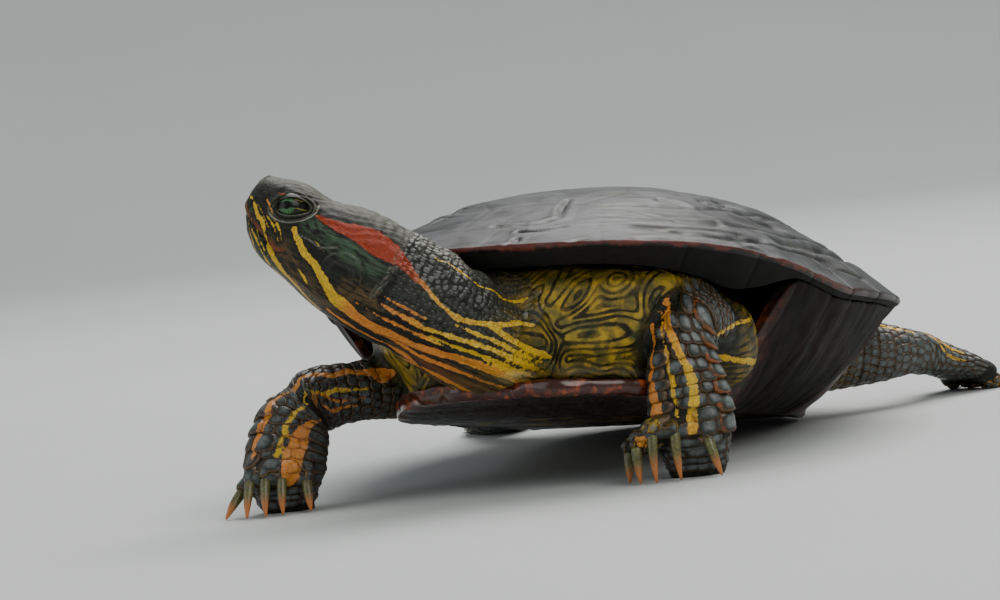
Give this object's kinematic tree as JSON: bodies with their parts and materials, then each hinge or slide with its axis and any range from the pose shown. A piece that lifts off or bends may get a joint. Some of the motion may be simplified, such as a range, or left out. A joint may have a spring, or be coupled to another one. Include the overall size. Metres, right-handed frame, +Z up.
{
  "type": "red-eared slider turtle",
  "caption": "Life-size pond turtle with a domed shell, standing with its neck out and its head raised and turned to its right.",
  "frame": {"origin": "middle of the footprint's bounding box, on the floor", "axes": "+Y from the front of the shell to its rear, +X to the animal's left, +Z up"},
  "size_m": [0.1728, 0.2354, 0.0866],
  "materials": {
    "carapace": "horny shell plates, near black with olive, brown at the rim, satin",
    "plastron": "horny belly plates, dark red-brown with orange, satin",
    "skin": "scaly skin, dark olive with yellow and orange stripes and a red streak behind the eye, slightly moist",
    "eye": "wet eye, green iris with a dark bar",
    "claw": "horn, olive at the base and amber brown at the tip"
  },
  "bodies": {
    "root": {"carapace": "carapace", "plastron": "plastron", "trunk": "skin", "neck": "skin", "head": "skin", "lower_jaw": "skin", "tail": "skin", "upper_arm_left": "skin", "forearm_left": "skin", "forefoot_left": "skin", "thigh_left": "skin", "shin_left": "skin", "hindfoot_left": "skin", "upper_arm_right": "skin", "forearm_right": "skin", "forefoot_right": "skin", "thigh_right": "skin", "shin_right": "skin", "hindfoot_right": "skin", "eye_left": "eye", "eye_right": "eye", "claw_fore_left_1": "claw", "claw_fore_left_2": "claw", "claw_fore_left_3": "claw", "claw_fore_left_4": "claw", "claw_fore_left_5": "claw", "claw_fore_right_1": "claw", "claw_fore_right_2": "claw", "claw_fore_right_3": "claw", "claw_fore_right_4": "claw", "claw_fore_right_5": "claw", "claw_hind_left_1": "claw", "claw_hind_left_2": "claw", "claw_hind_left_3": "claw", "claw_hind_left_4": "claw", "claw_hind_right_1": "claw", "claw_hind_right_2": "claw", "claw_hind_right_3": "claw", "claw_hind_right_4": "claw"}
  },
  "joints": []
}
